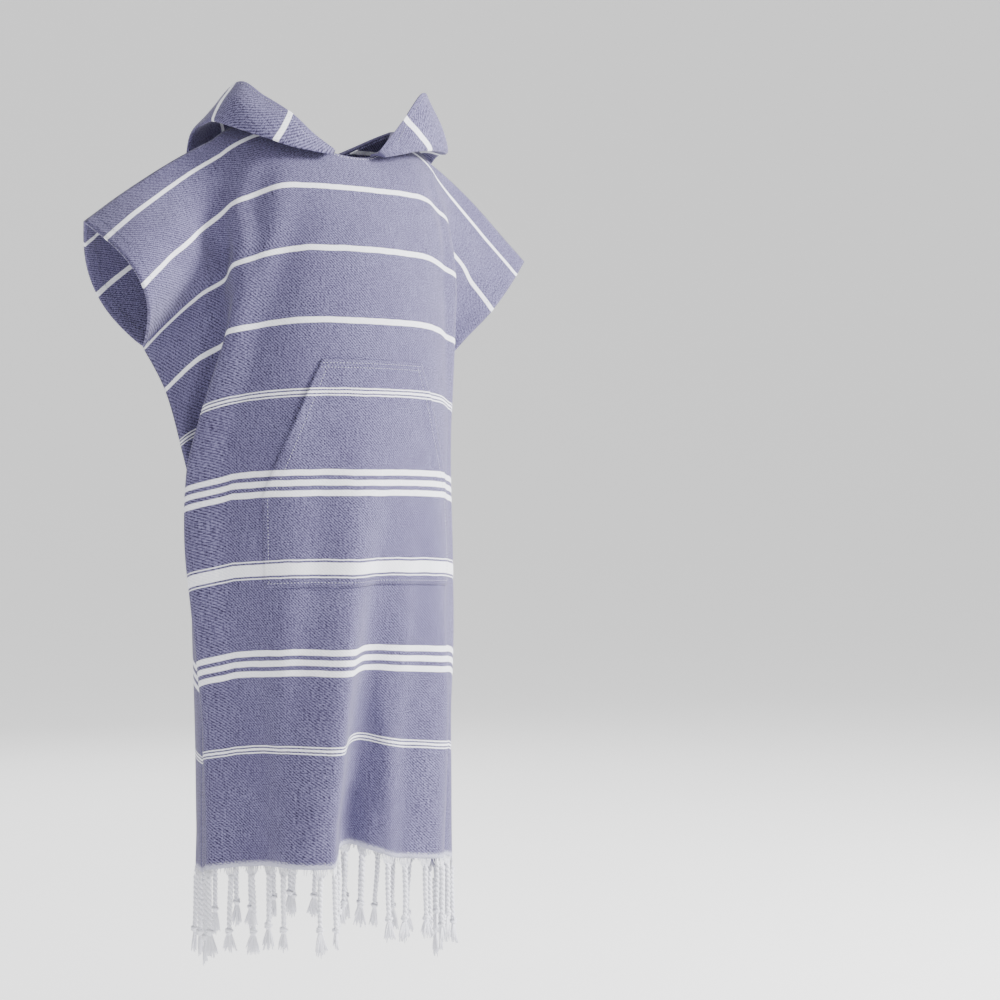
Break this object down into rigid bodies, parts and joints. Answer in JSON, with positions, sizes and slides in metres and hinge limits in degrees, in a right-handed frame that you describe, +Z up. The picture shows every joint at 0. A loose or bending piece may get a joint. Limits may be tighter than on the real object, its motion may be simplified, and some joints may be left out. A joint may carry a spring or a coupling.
{
  "type": "hooded bath poncho",
  "caption": "Hollow hooded poncho of striped flat-woven towel cloth as it hangs when worn, hood down, with short wide sleeves cut in one with the body, a pouch pocket and twisted fringe on the hem.",
  "frame": {"origin": "middle of the shoulder line, level with the two ends of the neck opening, where the wearer's shoulders hold the garment up", "axes": "+Z up, front towards -Y, +X towards the sleeve on a viewer's right who faces the front"},
  "size_m": [0.721, 0.3195, 1.2532],
  "materials": {
    "towel_cloth": "matt flat-woven cotton twill, blue-grey with white weft stripes",
    "fringe": "matt twisted white cotton yarn"
  },
  "bodies": {
    "root": {"front": "towel_cloth", "back": "towel_cloth", "pocket": "towel_cloth", "hood_left": "towel_cloth", "hood_right": "towel_cloth", "fringe_front": "fringe", "fringe_back": "fringe"}
  },
  "joints": []
}
